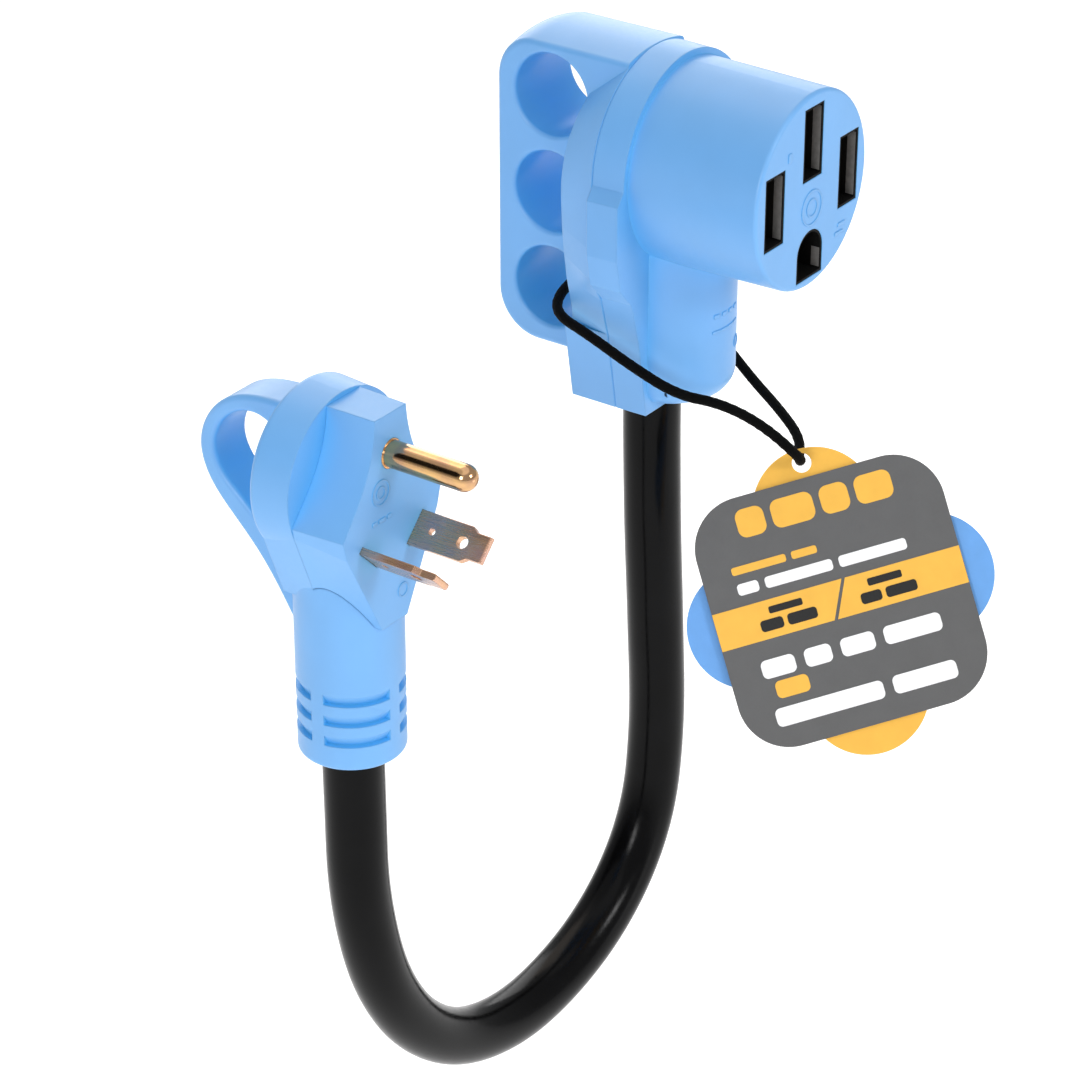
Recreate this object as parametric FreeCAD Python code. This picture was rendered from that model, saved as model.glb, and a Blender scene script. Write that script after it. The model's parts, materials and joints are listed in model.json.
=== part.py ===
"""Power adapter dogbone: a 50 A four-slot receptacle head and a 30 A plug head on one short cord.

Millimetres, +Z up. The receptacle and the plug both face -Y. The origin is the centre of the
top finger hole in the receptacle's handle, which is the hole that the adapter is held by.
"""
import FreeCAD, Part
import math
import os

V = FreeCAD.Vector
Y_AXIS = V(0, 1, 0)
Z_AXIS = V(0, 0, 1)

# ---- driving dimensions ----------------------------------------------------------------
FACE_R = 22.5             # outlet face
BARREL_ROOT_R = 23.1      # outlet barrel where it meets the housing
FACE_Y = -61.2            # outlet face plane
BARREL_Z = -11.4          # height of the barrel's axis
LIP_Y = -28.9             # front of the housing band
SEAM_Y = -20.8            # joint between front and rear shells of both heads; cord axis
HOUSING_R = 24.8          # round upper part of the housing
WALL = 2.4                # shell wall
SEAM_BEVEL = 0.25         # bevel along both sides of the receptacle's shell joint

HOLE_R = 9.6              # finger holes
HOLE_PITCH = 23.05
HANDLE_HALF = 11.0        # half the handle's thickness
HANDLE_REAR = 14.6
HANDLE_BOTTOM = -60.4

CORD_R = 6.7
CORD_BORE_R = 6.8
NECK_BOTTOM = -69.0       # underside of the receptacle's neck
PLUG_X = -112.5           # the plug's plane of symmetry
PLUG_NECK_R = 11.6
PLUG_BOTTOM = -108.7      # underside of the plug's neck
PLUG_FACE_Y = -32.8
DISC_Z = -44.4            # centre of the plug's rear disc
DISC_R = 18.9
DISC_REAR_Y = -10.7
DISC_DRAFT = 0.3
DISC_EDGE_R = 1.6

SLOT_W = 7.8
SLOT_H = 16.9
HOT_X = 15.0              # hot slots, each side of the middle
HOT_Z = BARREL_Z + 0.2
NEUTRAL_Z = BARREL_Z + 11.2
GROUND_BOTTOM = BARREL_Z - 20.5
GROUND_TOP = BARREL_Z - 9.2
GROUND_HALF = 5.25

BLADE_X = 7.8             # blade centres, each side of the plug's middle
BLADE_Z = -56.5
BLADE_W = 7.8
BLADE_T = 1.5
BLADE_TIP_Y = -50.9
GROUND_PIN_R = 2.9
GROUND_PIN_Z = -36.2
GROUND_PIN_TIP_Y = -53.9
PIN_COLLAR_R = 3.2        # the ground pin's thicker root, sunk just below the plug's face

WIRE_R = 1.6
LANYARD_R = 1.2
CARD_T = 0.6

# The power cord's route, in the plane y = SEAM_Y, from inside the receptacle's neck to the plug's.
CORD_ROUTE = [
    (0.0, SEAM_Y, -52.0),
    (0.0, SEAM_Y, -86.0),
    (2.4, SEAM_Y, -124.0),
    (5.0, SEAM_Y, -160.0),
    (1.4, SEAM_Y, -187.0),
    (-16.5, SEAM_Y, -206.6),
    (-48.0, SEAM_Y, -215.2),
    (-78.0, SEAM_Y, -207.8),
    (-100.6, SEAM_Y, -185.0),
    (-111.8, SEAM_Y, -153.0),
    (PLUG_X, SEAM_Y, -118.0),
    (PLUG_X, SEAM_Y, -84.0),
]

# The lanyard's route: from its ferrule behind the handle, through the lowest finger hole, along the
# near side of the neck to the tag, through the tag's hole, and back along the far side.
LANYARD_ROUTE = [
    (19.5, 0.2, -44.7),
    (10.5, 0.2, -44.7),
    (-1.5, -3.6, -44.4),
    (-15.0, -5.4, -44.5),
    (-21.6, -9.0, -46.4),
    (-23.4, -19.0, -48.0),
    (-22.8, -30.0, -52.8),
    (-20.0, -40.6, -58.2),
    (-13.4, -48.0, -60.8),
    (-7.2, -55.2, -66.6),
    (-3.4, -63.4, -74.4),
    (4.6, -57.7, -79.9),
    (10.6, -54.4, -77.4),
    (15.4, -45.4, -74.4),
    (19.2, -35.4, -71.0),
    (22.0, -23.0, -63.0),
    (24.0, -11.0, -53.6),
    (24.5, -3.0, -48.8),
    (21.5, 0.2, -47.3),
    (14.0, 0.2, -47.3),
]

# The tag hangs at a slant, its printed side turned to the near side and up.
TAG_HOLE = V(1.0, -60.7, -77.8)
TAG_AZIMUTH = math.radians(-54.6)
TAG_TILT = math.radians(28.5)
TAG_ROLL = math.radians(15.9)


# ---- small makers ----------------------------------------------------------------------
def box(x, y, z):
    """A box from three (low, high) pairs."""
    return Part.makeBox(x[1] - x[0], y[1] - y[0], z[1] - z[0], V(x[0], y[0], z[0]))


def rod(radius, start, end):
    """A round bar between two points."""
    along = V(*end) - V(*start)
    return Part.makeCylinder(radius, along.Length, V(*start), along)


def rod_y(radius, x, z, y):
    return rod(radius, (x, y[0], z), (x, y[1], z))


def fuse(shapes):
    return shapes[0].multiFuse(shapes[1:]).removeSplitter()


def polygon(points):
    return Part.makePolygon(points + points[:1])


def extrude(wire, along):
    return Part.Face(wire).extrude(along)


def half_outline(half, centre_x, y):
    """Points of a symmetric outline in an XZ plane, from its top right round to its top left."""
    right = [V(centre_x + x, y, z) for x, z in half]
    left = [V(centre_x - x, y, z) for x, z in reversed(half)]
    return right + left


def fillet_where(shape, radius, test):
    """Round the edges for which test(edge) holds."""
    return shape.makeFillet(radius, [edge for edge in shape.Edges if test(edge)])


def bent_path(points):
    """Straight runs joined by tangent arcs: each arc takes 0.45 of the shorter run beside it."""
    points = [V(*p) for p in points]
    edges = []
    radii = []
    last = points[0]
    for before, corner, after in zip(points, points[1:], points[2:]):
        into = corner - before
        out = after - corner
        reach = 0.45 * min(into.Length, out.Length)
        turn = into.getAngle(out)
        radii.append(reach / math.tan(turn / 2))
        into.normalize()
        out.normalize()
        start = corner - into * reach
        end = corner + out * reach
        towards = (out - into).normalize()
        centre = corner + towards * (math.hypot(radii[-1], reach))
        middle = centre - towards * radii[-1]
        edges.append(Part.LineSegment(last, start).toShape())
        edges.append(Part.Arc(start, middle, end).toShape())
        last = end
    edges.append(Part.LineSegment(last, points[-1]).toShape())
    return Part.Wire(edges), radii


def bent_tube(points, radius):
    """A round cord or wire along a path of runs and arcs, and its smallest bend radius."""
    path, radii = bent_path(points)
    first = V(*points[0])
    section = Part.Wire(Part.Circle(first, V(*points[1]) - first, radius).toShape())
    tube = path.makePipeShell([section], True, False)
    expected = math.pi * radius ** 2 * path.Length
    print("tube length %.1f, volume ratio %.4f, smallest radius %.1f of" %
          (path.Length, tube.Volume / expected, min(radii)), [round(r, 1) for r in radii])
    return tube


def slot_prism(kind, grow, y):
    """The prism of one receptacle slot, grown on every side, between two y planes."""
    if kind == "ground":
        half = GROUND_HALF + grow
        arch_z = GROUND_TOP - GROUND_HALF
        low = box((-half, half), y, (GROUND_BOTTOM - grow, arch_z))
        return low.fuse(rod_y(half, 0, arch_z, y)).removeSplitter()
    x, z = {"neutral": (0, NEUTRAL_Z), "line_x": (-HOT_X, HOT_Z), "line_y": (HOT_X, HOT_Z)}[kind]
    half_w = SLOT_W / 2 + grow
    half_h = SLOT_H / 2 + grow
    return box((x - half_w, x + half_w), y, (z - half_h, z + half_h))


SLOT_KINDS = ("neutral", "line_x", "line_y", "ground")


# ---- receptacle head -------------------------------------------------------------------
NECK_TOP_HALF = 18.2      # half width of the neck where the housing ends
NECK_TOP_Z = -49.6
NECK_HALF = 14.8          # half width of the neck's foot
NECK_FRONT_R = 14.6       # the neck's round front
NECK_FRONT_Y = -25.9      # centre of the neck's round front
NECK_FRONT_BOTTOM = NECK_BOTTOM + 1.3
NECK_TOE_R = 6.0          # round under the neck's front
NECK_REAR_Y = -9.0
HOUSING_REAR_Y = -10.6
FACE_EDGE_R = 0.9         # round of the outlet face's rim
BAND_DRAFT = 0.2          # how much the band narrows to its front

# The housing's outline at three planes. Each is the radius and the height of the arch's centre,
# then the points (x, z) down one side to the neck.
BAND_OUTLINE = (HOUSING_R, BARREL_Z, [(27.1, -14.2), (27.1, -27.0), (25.6, -34.6), (21.2, -39.4),
                                      (NECK_TOP_HALF, NECK_TOP_Z)])
SEAM_OUTLINE = (HOUSING_R, BARREL_Z, [(24.9, -14.2), (24.9, -27.0), (24.2, -34.6), (21.0, -40.2),
                                      (NECK_TOP_HALF, NECK_TOP_Z)])
BACK_OUTLINE = (21.9, BARREL_Z - 4.6, [(21.9, -18.0), (21.5, -25.0), (20.6, -32.0), (19.6, -38.0),
                                       (17.5, -46.0)])


def housing_wire(outline, y, inset, bottom):
    """The housing's outline at one plane: an arch, the two sides, and a tapered neck."""
    arch_r, arch_z, sides = outline
    arch_r -= inset
    side = [(arch_r, arch_z)]
    side += [(x - inset, z) for x, z in sides]
    side += [(NECK_HALF - inset, bottom)]
    points = half_outline(side, 0, y)
    arch = Part.Arc(points[-1], V(0, y, arch_z + arch_r), points[0]).toShape()
    lines = [Part.LineSegment(a, b).toShape() for a, b in zip(points, points[1:])]
    return Part.Wire([arch] + lines)


def housing_slab(outline_a, y_a, inset_a, outline_b, y_b, inset_b, bottom):
    """The solid between the housing's outlines at two planes."""
    wires = [housing_wire(outline_a, y_a, inset_a, bottom), housing_wire(outline_b, y_b, inset_b, bottom)]
    return Part.makeLoft(wires, True, True)


SHELL_SCREWS = [(14.0, -3.5), (-14.0, -3.5), (11.4, -63.0), (-11.4, -63.0)]
SCREW_R = 1.3
SCREW_HOLE_R = 1.35
SCREW_HEAD_R = 2.5
SCREW_HEAD_Y = (-14.6, -12.8)
BOSS_R = 2.9
BOSS_RIB_HALF = 1.0       # half the thickness of the rib that ties each boss to the wall
CLAMP_Z = (-58.0, -53.0)
CLAMP_SCREW_X = 9.3
CAVITY_BOTTOM = -59.0
BARREL_CAVITY_R = 21.3
FACE_T = 2.4
LIP_WALL = 1.4
BOSS_FRONT_Y = -36.0      # how far the bosses reach towards the face
SCREW_TIP_Y = -32.5
NECK_ROOM_HALF = 12.2     # half width of the room in the neck's back
HANDLE_TOP_R = 10.0       # the handle's rear corners, seen from the side
HANDLE_BOTTOM_R = 11.0
HANDLE_CROWN_R = 36.0     # the top's crown across the handle
HANDLE_EDGE_R = 1.4       # round along the handle's outer edges
HOLE_EDGE_R = 1.0
DRIVER_SLOT_HALF = (1.6, 0.4)
DRIVER_SLOT_DEPTH = 0.9


def bosses(y):
    """The two upper screw bosses, each with a rib up to the shell's wall."""
    solids = []
    for x, z in SHELL_SCREWS[:2]:
        rib = box((x - BOSS_RIB_HALF, x + BOSS_RIB_HALF), y, (z, HOUSING_R + BARREL_Z))
        solids += [rod_y(BOSS_R, x, z, y), rib]
    return solids


def shell_screw_holes(y):
    return [rod_y(SCREW_HOLE_R, x, z, y) for x, z in SHELL_SCREWS]


def receptacle_front_shell():
    """Outlet barrel, the band round the housing's front, and the round front of the neck."""
    barrel = Part.makeCone(FACE_R, BARREL_ROOT_R, LIP_Y - FACE_Y, V(0, FACE_Y, BARREL_Z), Y_AXIS)
    barrel = fillet_where(barrel, FACE_EDGE_R, lambda e: abs(e.CenterOfMass.y - FACE_Y) < 0.01)
    barrel = barrel.fuse(rod_y(BARREL_ROOT_R, 0, BARREL_Z, (LIP_Y, SEAM_Y)))
    neck = rod(NECK_FRONT_R, (0, NECK_FRONT_Y, NECK_FRONT_BOTTOM), (0, NECK_FRONT_Y, BARREL_Z))
    neck = fillet_where(neck, NECK_TOE_R, lambda e: abs(e.CenterOfMass.z - NECK_FRONT_BOTTOM) < 0.01)
    neck = neck.common(box((-40, 40), (-60, SEAM_Y), (-100, 40)))
    bevel_y = SEAM_Y - SEAM_BEVEL
    band = housing_slab(BAND_OUTLINE, LIP_Y, BAND_DRAFT, BAND_OUTLINE, bevel_y, 0, NECK_BOTTOM)
    band_bevel = housing_slab(BAND_OUTLINE, bevel_y, 0, BAND_OUTLINE, SEAM_Y, SEAM_BEVEL, NECK_BOTTOM)
    outer = fuse([barrel, neck, band, band_bevel])

    cavity_y = LIP_Y + LIP_WALL
    inner = [rod_y(BARREL_CAVITY_R, 0, BARREL_Z, (FACE_Y + FACE_T, SEAM_Y)),
             housing_slab(SEAM_OUTLINE, cavity_y, WALL, SEAM_OUTLINE, SEAM_Y, WALL, CAVITY_BOTTOM),
             rod(NECK_FRONT_R - WALL, (0, NECK_FRONT_Y, CAVITY_BOTTOM), (0, NECK_FRONT_Y, BARREL_Z)),
             rod(CORD_BORE_R, (0, SEAM_Y, NECK_BOTTOM - 1), (0, SEAM_Y, CAVITY_BOTTOM))]
    inner = fuse(inner).cut(fuse(bosses((BOSS_FRONT_Y, SEAM_Y))))
    shell = outer.cut(inner)
    slots = [slot_prism(kind, 0, (FACE_Y - 1, FACE_Y + FACE_T + 1)) for kind in SLOT_KINDS]
    return shell.cut(slots + shell_screw_holes((SCREW_TIP_Y - 0.5, SEAM_Y)))


def handle_plate():
    """The handle: a thick upright plate with a crowned top, three finger holes and rounded edges."""
    y_low = SEAM_Y + SEAM_BEVEL
    top = BARREL_Z + HOUSING_R
    crown = rod_y(HANDLE_CROWN_R, 0, top - HANDLE_CROWN_R, (y_low, HANDLE_REAR))
    crown = fillet_where(crown, HANDLE_TOP_R, lambda e: abs(e.CenterOfMass.y - HANDLE_REAR) < 0.01)
    lower = box((-HOUSING_R, HOUSING_R), (y_low, HANDLE_REAR), (HANDLE_BOTTOM, BARREL_Z))
    lower = fillet_where(lower, HANDLE_BOTTOM_R, lambda e: abs(e.CenterOfMass.y - HANDLE_REAR) < 0.01
                         and abs(e.CenterOfMass.z - HANDLE_BOTTOM) < 0.01)
    slab = box((-HANDLE_HALF, HANDLE_HALF), (y_low, HANDLE_REAR), (HANDLE_BOTTOM, top))
    plate = fuse([crown, lower]).common(slab)
    plate = fillet_where(plate, HANDLE_EDGE_R, lambda e: e.CenterOfMass.y > y_low + 0.1
                         and abs(abs(e.CenterOfMass.x) - HANDLE_HALF) < 0.01)
    holes = [rod(HOLE_R, (-20, 0, -i * HOLE_PITCH), (20, 0, -i * HOLE_PITCH)) for i in range(3)]
    plate = plate.cut(holes)
    return fillet_where(plate, HOLE_EDGE_R, lambda e: isinstance(e.Curve, Part.Circle)
                        and abs(e.Curve.Radius - HOLE_R) < 0.01)


def receptacle_rear_shell():
    """The housing's back, the square back of the neck, and the handle, in one moulding."""
    bevel_y = SEAM_Y + SEAM_BEVEL
    bevel = housing_slab(SEAM_OUTLINE, SEAM_Y, SEAM_BEVEL, SEAM_OUTLINE, bevel_y, 0, NECK_BOTTOM)
    back = housing_slab(SEAM_OUTLINE, bevel_y, 0, BACK_OUTLINE, HOUSING_REAR_Y, 0, NECK_BOTTOM)
    neck_half = [(NECK_TOP_HALF, NECK_TOP_Z), (NECK_HALF, NECK_BOTTOM)]
    neck = extrude(polygon(half_outline(neck_half, 0, bevel_y)), V(0, NECK_REAR_Y - bevel_y, 0))
    outer = fuse([bevel, back, neck, handle_plate()])
    room = housing_slab(SEAM_OUTLINE, SEAM_Y, WALL, BACK_OUTLINE, HOUSING_REAR_Y, WALL, CAVITY_BOTTOM)
    room = room.common(box((-40, 40), (SEAM_Y, HOUSING_REAR_Y - WALL), (-80, 40)))
    cavity = [room,
              box((-NECK_ROOM_HALF, NECK_ROOM_HALF), (SEAM_Y, NECK_REAR_Y - WALL),
                  (CAVITY_BOTTOM, NECK_TOP_Z)),
              rod(CORD_BORE_R, (0, SEAM_Y, NECK_BOTTOM - 1), (0, SEAM_Y, CAVITY_BOTTOM))]
    cavity = fuse(cavity).cut(fuse(bosses((SEAM_Y, HOUSING_REAR_Y))))
    heads = [rod_y(SCREW_HEAD_R + 0.2, x, z, (SCREW_HEAD_Y[0], -5)) for x, z in SHELL_SCREWS]
    return outer.cut([cavity] + shell_screw_holes((SEAM_Y, -5)) + heads)


def shell_screws():
    screws = []
    for x, z in SHELL_SCREWS:
        shank = rod_y(SCREW_R, x, z, (SCREW_TIP_Y, SCREW_HEAD_Y[0]))
        head = rod_y(SCREW_HEAD_R, x, z, SCREW_HEAD_Y)
        half_w, half_h = DRIVER_SLOT_HALF
        recess = box((x - half_w, x + half_w), (SCREW_HEAD_Y[1] - DRIVER_SLOT_DEPTH, SCREW_HEAD_Y[1]),
                     (z - half_h, z + half_h))
        screws.append(shank.fuse(head).cut(recess))
    return Part.makeCompound(screws)


CARRIER_Y = (FACE_Y + FACE_T, -43.0)
CONTACT_Y = (-56.0, -44.0)
SLEEVE_T = 0.5
CONTACT_HALF = 2.6        # half the width across a contact's two leaves
LEAF_T = 0.8
LEAF_H = 12.0
GROUND_LEAF_H = 7.0
TAIL_HALF = (1.5, 2.5)


def contact_carrier():
    """Dark insulating block behind the face, with a sleeve through the face for each slot."""
    block = rod_y(BARREL_CAVITY_R - 0.2, 0, BARREL_Z, CARRIER_Y)
    sleeves = [slot_prism(kind, -0.05, (FACE_Y + 0.1, CARRIER_Y[1])) for kind in SLOT_KINDS]
    pockets = [slot_prism(kind, -0.05 - SLEEVE_T, (FACE_Y - 1, CARRIER_Y[1] + 1)) for kind in SLOT_KINDS]
    return fuse([block] + sleeves).cut(pockets)


def spring_contact(x, z, height, terminal):
    """A folded brass contact: two leaves that grip a blade, and a tail to its terminal block."""
    low, high = (z - height / 2, z + height / 2)
    bridge_y = (CONTACT_Y[1], CONTACT_Y[1] + 1.0)
    leaves = []
    for left in (x - CONTACT_HALF, x + CONTACT_HALF - LEAF_T):
        leaves.append(box((left, left + LEAF_T), CONTACT_Y, (low, high)))
    bridge = box((x - CONTACT_HALF, x + CONTACT_HALF), bridge_y, (low, high))
    tail = box((x - TAIL_HALF[0], x + TAIL_HALF[0]), (CONTACT_Y[1], terminal[1][0]),
               (z - TAIL_HALF[1], z + TAIL_HALF[1]))
    return fuse(leaves + [bridge, tail, box(*terminal)])


WIRE_Y = -27.0
LINE_WIRE_X = -5.2
NEUTRAL_WIRE_X = 5.2
BRIDGE_Z = (-14.5, -8.5)
NEUTRAL_TERMINAL = ((-2.0, 8.0), (-35.0, -24.0), (-5.5, 2.0))
GROUND_TERMINAL = ((-3.0, 3.0), (-35.0, -24.0), (-30.0, -23.0))
HOT_TERMINAL_Y = (-38.0, -33.2)


def hot_contact(side):
    x = side * HOT_X
    return spring_contact(x, HOT_Z, LEAF_H, ((x - 3, x + 3), HOT_TERMINAL_Y, BRIDGE_Z))


def hot_bridge():
    """The jumper that feeds both hot contacts from the single line wire."""
    bar = box((-18.0, 18.0), (-33.2, -32.0), BRIDGE_Z)
    lug = box((LINE_WIRE_X - 3, LINE_WIRE_X + 3), (-32.0, -24.0), (-15.5, -9.5))
    return bar.fuse(lug).removeSplitter()


def terminal_screws():
    """The three screws that clamp the wires in their lugs."""
    heads = []
    for x, z in ((LINE_WIRE_X, -12.5), (NEUTRAL_WIRE_X, -1.8), (0.0, -26.5)):
        heads.append(rod_y(1.9, x, z, (-24.0, -22.4)))
    return Part.makeCompound(heads)


def cord_clamp():
    """Two saddles that grip the cord's jacket inside the neck."""
    whole = box((-11.6, 11.6), (-28.5, -12.4), CLAMP_Z)
    whole = whole.cut(rod(CORD_R + 0.03, (0, SEAM_Y, -70), (0, SEAM_Y, -40)))
    whole = whole.cut([rod_y(SCREW_HOLE_R, x, -55.5, (-40, 0)) for x in (CLAMP_SCREW_X, -CLAMP_SCREW_X)])
    front = whole.common(box((-20, 20), (-40, SEAM_Y - 0.3), (-80, -40)))
    rear = whole.common(box((-20, 20), (SEAM_Y + 0.3, 0), (-80, -40)))
    return Part.makeCompound([front, rear])


def cord_clamp_screws():
    screws = []
    for x in (CLAMP_SCREW_X, -CLAMP_SCREW_X):
        screws.append(rod_y(SCREW_R, x, -55.5, (-28.5, -13.4)).fuse(rod_y(1.9, x, -55.5, (-30.1, -28.5))))
    return Part.makeCompound(screws)


def receptacle_wire(x, top):
    """One insulated conductor, from the end of the jacket up to its lug."""
    start_x = 0.7 * x
    return bent_tube([(start_x, SEAM_Y, -52.0), (start_x, SEAM_Y, -47.0), (x, WIRE_Y, -39.0),
                      (x, WIRE_Y, top)], WIRE_R)


# ---- plug head -------------------------------------------------------------------------
# Half outlines (x from the plug's middle, z): where the block meets the disc, and its face.
BLOCK_FLARE = [(5.4, -26.9), (6.4, -32.9), (9.4, -39.6), (13.4, -44.8), (17.6, -49.6)]
BLOCK_TAPER = [(17.0, -52.0), (10.06, -70.0)]
FACE_FLARE = [(5.1, -27.1), (6.0, -33.0), (8.2, -39.0), (11.6, -44.2), (16.2, -50.0)]
FACE_TAPER = [(15.0, -54.4), (4.2, -75.2)]
HOPPER = [(17.34, -51.13), (10.06, -70.0)]
HOPPER_DEPTH = 9.0
PLUG_NECK_TOP = -50.0
RIB_HALF = 1.6            # half the width of the ribs between the notches
PLUG_EDGE_R = 1.2         # round of the neck's end and of the pull handle
FIT = 0.04                # gap round the blades and the pin
RELIEF_ROWS = (-91.8, -96.7, -101.6)
RELIEF_H = 2.5
RELIEF_DEPTH = 1.3
PLUG_CLAMP_Z = (-88.0, -83.0)
PLUG_CAVITY = (-89.0, -30.0)


def flared_wire(flare, taper, y, inset=0.0):
    """A symmetric outline with curved shoulders and straight lower sides."""
    flare = [(x - inset, z - inset * 0.6) for x, z in flare]
    taper = [(x - inset, z) for x, z in taper]
    right = [V(PLUG_X + x, y, z) for x, z in flare]
    left = [V(PLUG_X - x, y, z) for x, z in reversed(flare)]
    low = half_outline([flare[-1]] + taper, PLUG_X, y)
    edges = []
    for curve in (left, right):
        spline = Part.BSplineCurve()
        spline.interpolate(curve)
        edges.append(spline.toShape())
    top = Part.LineSegment(left[-1], right[0]).toShape()
    lines = [Part.LineSegment(a, b).toShape() for a, b in zip(low, low[1:])]
    return Part.Wire([edges[0], top, edges[1]] + lines)


def plug_block(inset_face, inset_back, y_face):
    return Part.makeLoft([flared_wire(BLOCK_FLARE, BLOCK_TAPER, SEAM_Y, inset_back),
                          flared_wire(FACE_FLARE, FACE_TAPER, y_face, inset_face)], True, True)


def plug_neck(radius, z):
    return rod(radius, (PLUG_X, SEAM_Y, z[0]), (PLUG_X, SEAM_Y, z[1]))


def relief_slots():
    """Three rows of notches round the neck, four to a row: deep at the foot, run out at the top."""
    slots = []
    for z in RELIEF_ROWS:
        low = z - RELIEF_H / 2
        ring = plug_neck(PLUG_NECK_R + 1, (low, low + RELIEF_H))
        ramp = Part.makeCone(PLUG_NECK_R - RELIEF_DEPTH, PLUG_NECK_R, RELIEF_H, V(PLUG_X, SEAM_Y, low))
        ring = ring.cut(ramp)
        for turn in (0, 90):
            rib = box((-20, 20), (-RIB_HALF, RIB_HALF), (low - 1, low + RELIEF_H + 1))
            rib.rotate(V(0, 0, 0), Z_AXIS, turn)
            rib.translate(V(PLUG_X, SEAM_Y, 0))
            ring = ring.cut(rib)
        slots.append(ring)
    return slots


def plug_neck_outer():
    """The neck: a round sleeve with a rounded end and rows of notches that let it bend."""
    neck = plug_neck(PLUG_NECK_R, (PLUG_BOTTOM, PLUG_NECK_TOP))
    neck = fillet_where(neck, PLUG_EDGE_R, lambda e: abs(e.CenterOfMass.z - PLUG_BOTTOM) < 0.01)
    return neck.cut(relief_slots())


def plug_inside():
    """The room inside the plug: the block's, the disc's and the neck's."""
    room = plug_block(WALL, WALL, PLUG_FACE_Y + 8.0)
    passage = extrude(flared_wire(BLOCK_FLARE, BLOCK_TAPER, SEAM_Y, WALL), V(0, WALL, 0))
    disc = rod_y(DISC_R - WALL - 1, PLUG_X, DISC_Z, (SEAM_Y + WALL, DISC_REAR_Y - WALL))
    neck = plug_neck(PLUG_NECK_R - WALL, (PLUG_CAVITY[0], PLUG_NECK_TOP))
    bore = plug_neck(CORD_BORE_R, (PLUG_BOTTOM - 1, PLUG_CAVITY[0]))
    return fuse([room, passage, disc, neck, bore])


def blade_prism(side, grow, y):
    """The prism of one blade, at 45 degrees, between two y planes."""
    prism = box((-BLADE_W / 2 - grow, BLADE_W / 2 + grow), y, (-BLADE_T / 2 - grow, BLADE_T / 2 + grow))
    prism.rotate(V(0, 0, 0), Y_AXIS, side * -45)
    prism.translate(V(PLUG_X + side * BLADE_X, 0, BLADE_Z))
    return prism


def plug_front_shell():
    """The faceted block that carries the blades."""
    block = plug_block(0, 0, PLUG_FACE_Y)
    holes = [blade_prism(side, FIT, (-40, SEAM_Y)) for side in (1, -1)]
    pin = rod_y(PIN_COLLAR_R + FIT, PLUG_X, GROUND_PIN_Z, (-40, SEAM_Y))
    return block.cut([plug_inside(), pin] + holes)


def plug_rear_shell():
    """The round rear disc, the neck and the pull handle, in one moulding."""
    disc = Part.makeCone(DISC_R - DISC_DRAFT, DISC_R + DISC_DRAFT, DISC_REAR_Y - SEAM_Y,
                         V(PLUG_X, SEAM_Y, DISC_Z), Y_AXIS)
    disc = fillet_where(disc, DISC_EDGE_R, lambda e: abs(e.CenterOfMass.y - DISC_REAR_Y) < 0.01)
    hopper = extrude(polygon(half_outline(HOPPER, PLUG_X, SEAM_Y)), V(0, HOPPER_DEPTH, 0))
    outer = fuse([disc, hopper, plug_neck_outer(), pull_handle()])
    inner = [(x - WALL, z) for x, z in HOPPER]
    room = extrude(polygon(half_outline(inner, PLUG_X, SEAM_Y)), V(0, HOPPER_DEPTH - WALL, 0))
    return outer.cut([plug_inside(), room, plug_block(0, 0, PLUG_FACE_Y)])


def yz_wire(points):
    """A closed smooth wire in the plug's plane of symmetry, from (y, z) points."""
    spline = Part.BSplineCurve()
    spline.interpolate([V(PLUG_X, y, z) for y, z in points], PeriodicFlag=True)
    return Part.Wire([spline.toShape()])


PULL_HALF = 5.5           # half the width of the pull handle
PULL_OUTER = [(-14.0, -30.0), (-4.0, -30.0), (5.0, -32.4), (11.2, -38.2), (13.4, -45.0),
              (11.4, -52.4), (5.6, -59.4), (-1.6, -67.0), (-7.0, -74.6), (-11.4, -82.0)]
PULL_INNER = [(-8.4, -46.0), (-7.8, -37.6), (-2.6, -34.4), (3.6, -35.6), (8.0, -39.8),
              (9.4, -45.4), (7.2, -50.6), (2.4, -55.0), (-3.6, -58.6), (-7.4, -56.0)]
PULL_ROOT_Y = -16.0


def pull_handle():
    """The loop at the plug's back that a finger goes through."""
    curved = [V(PLUG_X, y, z) for y, z in PULL_OUTER]
    curve = Part.BSplineCurve()
    curve.interpolate(curved)
    corners = [curved[-1], V(PLUG_X, PULL_ROOT_Y, curved[-1].z),
               V(PLUG_X, PULL_ROOT_Y, curved[0].z), curved[0]]
    lines = [Part.LineSegment(a, b).toShape() for a, b in zip(corners, corners[1:])]
    outline = Part.Wire([curve.toShape()] + lines)
    outline.translate(V(-PULL_HALF, 0, 0))
    body = extrude(outline, V(2 * PULL_HALF, 0, 0))
    opening = yz_wire(PULL_INNER)
    opening.translate(V(-PULL_HALF - 1, 0, 0))
    body = body.cut(extrude(opening, V(2 * PULL_HALF + 2, 0, 0)))
    body = fillet_where(body, PLUG_EDGE_R, lambda e: isinstance(e.Curve, Part.BSplineCurve)
                        and abs(abs(e.CenterOfMass.x - PLUG_X) - PULL_HALF) < 0.01)
    return body.cut(plug_neck(PLUG_NECK_R - 0.4, (-90, PLUG_NECK_TOP)))


def blade_carrier():
    """The insulating block that the two blades and the ground pin are set in."""
    block = plug_block(WALL + 0.2, WALL + 0.2, PLUG_FACE_Y + 8.2)
    block = block.common(box((PLUG_X - 30, PLUG_X + 30), (-40, SEAM_Y), (-64.0, 0)))
    holes = [blade_prism(side, FIT, (-40, 0)) for side in (1, -1)]
    pin = rod_y(PIN_COLLAR_R + FIT, PLUG_X, GROUND_PIN_Z, (-40, 0))
    return block.cut(holes + [pin])


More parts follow.
